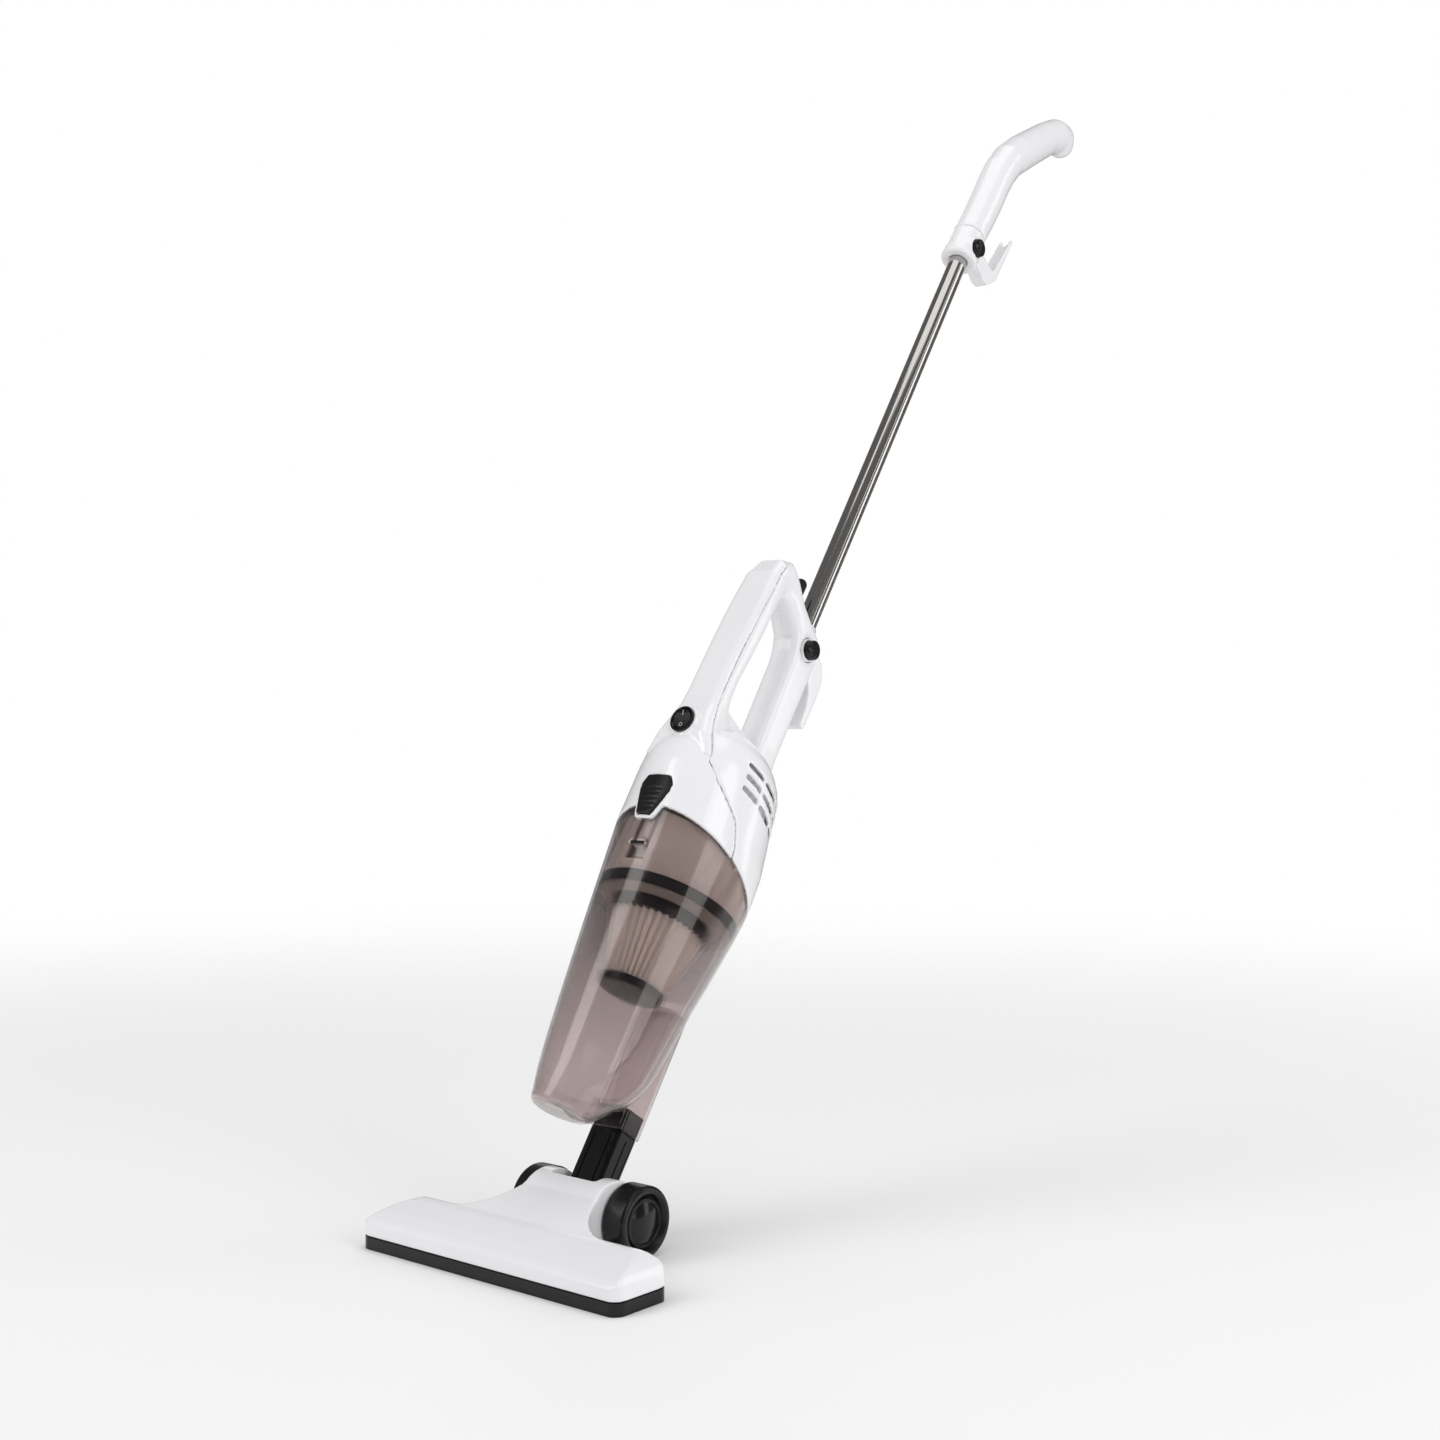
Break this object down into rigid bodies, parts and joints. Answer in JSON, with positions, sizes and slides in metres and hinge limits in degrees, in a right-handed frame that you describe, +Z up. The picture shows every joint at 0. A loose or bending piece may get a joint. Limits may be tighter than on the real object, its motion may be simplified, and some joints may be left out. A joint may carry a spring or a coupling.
{
  "type": "stick vacuum cleaner",
  "caption": "Upright stick vacuum with a hand unit on top of a clear dust cup, a tilting floor head on wheels, a steel tube and a bent grip with cord hooks",
  "frame": {"origin": "on the floor, under the middle of the floor head's black sole", "axes": "+X across the head, to the right when seen from the front, -Y to the front of the head, +Z up; the stick leans back towards +Y by 34.2 degrees"},
  "size_m": [0.236, 0.7529, 0.9134],
  "materials": {
    "white_abs": "gloss moulded ABS, white",
    "white_panel": "gloss moulded ABS, cool white",
    "black_abs": "gloss moulded ABS, black",
    "black_satin": "satin moulded ABS, black",
    "black_tyre": "moulded black plastic wheel with a satin tread",
    "beige_abs": "moulded ABS, beige grey",
    "beige_clear": "frosted clear moulding",
    "smoke_clear": "clear smoke-brown SAN, polished",
    "black_rubber": "soft black rubber",
    "red_lint_fabric": "short one-way lint pile",
    "cream_paper": "folded filter paper",
    "steel_tube": "bright polished steel tube",
    "steel_pin": "ground steel",
    "zinc_screw": "zinc plated steel",
    "spring_steel": "drawn spring wire",
    "motor_steel": "zinc plated sheet steel",
    "lamination_steel": "stacked and varnished sheet steel",
    "copper_winding": "enamelled copper winding on sheet steel",
    "copper_bar": "copper bars",
    "carbon": "pressed carbon",
    "impeller_nylon": "moulded nylon",
    "fan_aluminium": "drawn sheet aluminium"
  },
  "bodies": {
    "hand_unit": {"housing_left": "white_abs", "housing_right": "white_abs", "front_panel": "white_panel", "housing_screws": "zinc_screw", "switch_body": "black_abs", "release_spring": "spring_steel", "tube_socket": "white_abs", "tube_lock_spring": "spring_steel", "lower_cord_hook": "white_abs", "cord_gland": "black_rubber", "motor_bulkhead": "beige_abs", "cup_gasket": "black_rubber", "filter_holder": "beige_clear", "filter_ring": "black_satin", "filter_pleats": "cream_paper", "filter_cap": "black_satin", "motor_frame": "motor_steel", "motor_stator": "lamination_steel", "carbon_brushes": "carbon", "motor_bearings": "steel_pin", "impeller_cover": "fan_aluminium", "motor_mount_front": "black_rubber", "motor_mount_rear": "black_rubber"},
    "rotor": {"motor_armature": "copper_winding", "motor_shaft": "steel_pin", "commutator": "copper_bar", "impeller": "impeller_nylon"},
    "rocker": {"switch_rocker": "black_satin"},
    "release": {"release_button": "black_satin"},
    "lower_lock": {"tube_lock_button": "black_satin"},
    "cup_and_neck": {"dust_cup": "smoke_clear", "neck": "black_abs"},
    "head": {"head_cover": "white_abs", "head_base": "black_abs", "lint_strips": "red_lint_fabric", "head_screws": "zinc_screw", "wheel_axles": "steel_pin"},
    "left_wheel": {"wheel_left": "black_tyre", "wheel_cap_left": "black_abs"},
    "right_wheel": {"wheel_right": "black_tyre", "wheel_cap_right": "black_abs"},
    "tube_and_grip": {"extension_tube": "steel_tube", "handle_collar": "white_abs", "handle_left": "white_abs", "handle_right": "white_abs", "handle_screws": "zinc_screw", "handle_lock_spring": "spring_steel"},
    "upper_lock": {"handle_lock_button": "black_satin"}
  },
  "joints": [
    {"name": "motor_spin", "type": "hinge", "parent": "hand_unit", "child": "rotor", "pos_m": [0, 0.19245, 0.2786], "axis": [0, 0.5621, 0.8271], "continuous": true},
    {"name": "rocker_tip", "type": "hinge", "parent": "hand_unit", "child": "rocker", "pos_m": [0, 0.17424, 0.35748], "axis": [1, 0, 0], "range_deg": [-16, 0]},
    {"name": "release_press", "type": "slide", "parent": "hand_unit", "child": "release", "axis": [0, 0.8271, -0.5621], "range_m": [0, 0.003], "stiffness_N_per_m": 1200, "springref_m": -0.002, "deforming": ["release_spring"]},
    {"name": "lower_lock_press", "type": "slide", "parent": "hand_unit", "child": "lower_lock", "axis": [-1, 0, 0], "range_m": [0, 0.0025], "stiffness_N_per_m": 1200, "springref_m": -0.002, "deforming": ["tube_lock_spring"]},
    {"name": "cup_pull_off", "type": "slide", "parent": "hand_unit", "child": "cup_and_neck", "axis": [0, -0.5621, -0.8271], "range_m": [0, 0.125]},
    {"name": "head_tilt", "type": "hinge", "parent": "cup_and_neck", "child": "head", "pos_m": [0, 0.066, 0.026], "axis": [1, 0, 0], "range_deg": [-22, 45]},
    {"name": "left_wheel_spin", "type": "hinge", "parent": "head", "child": "left_wheel", "pos_m": [-0.0437, 0.0765, 0.0245], "axis": [1, 0, 0], "continuous": true},
    {"name": "right_wheel_spin", "type": "hinge", "parent": "head", "child": "right_wheel", "pos_m": [0.0437, 0.0765, 0.0245], "axis": [1, 0, 0], "continuous": true},
    {"name": "tube_pull_out", "type": "slide", "parent": "hand_unit", "child": "tube_and_grip", "axis": [0, 0.5621, 0.8271], "range_m": [0, 0.04]},
    {"name": "upper_lock_press", "type": "slide", "parent": "tube_and_grip", "child": "upper_lock", "axis": [-1, 0, 0], "range_m": [0, 0.0025], "stiffness_N_per_m": 1200, "springref_m": -0.002, "deforming": ["handle_lock_spring"]}
  ]
}
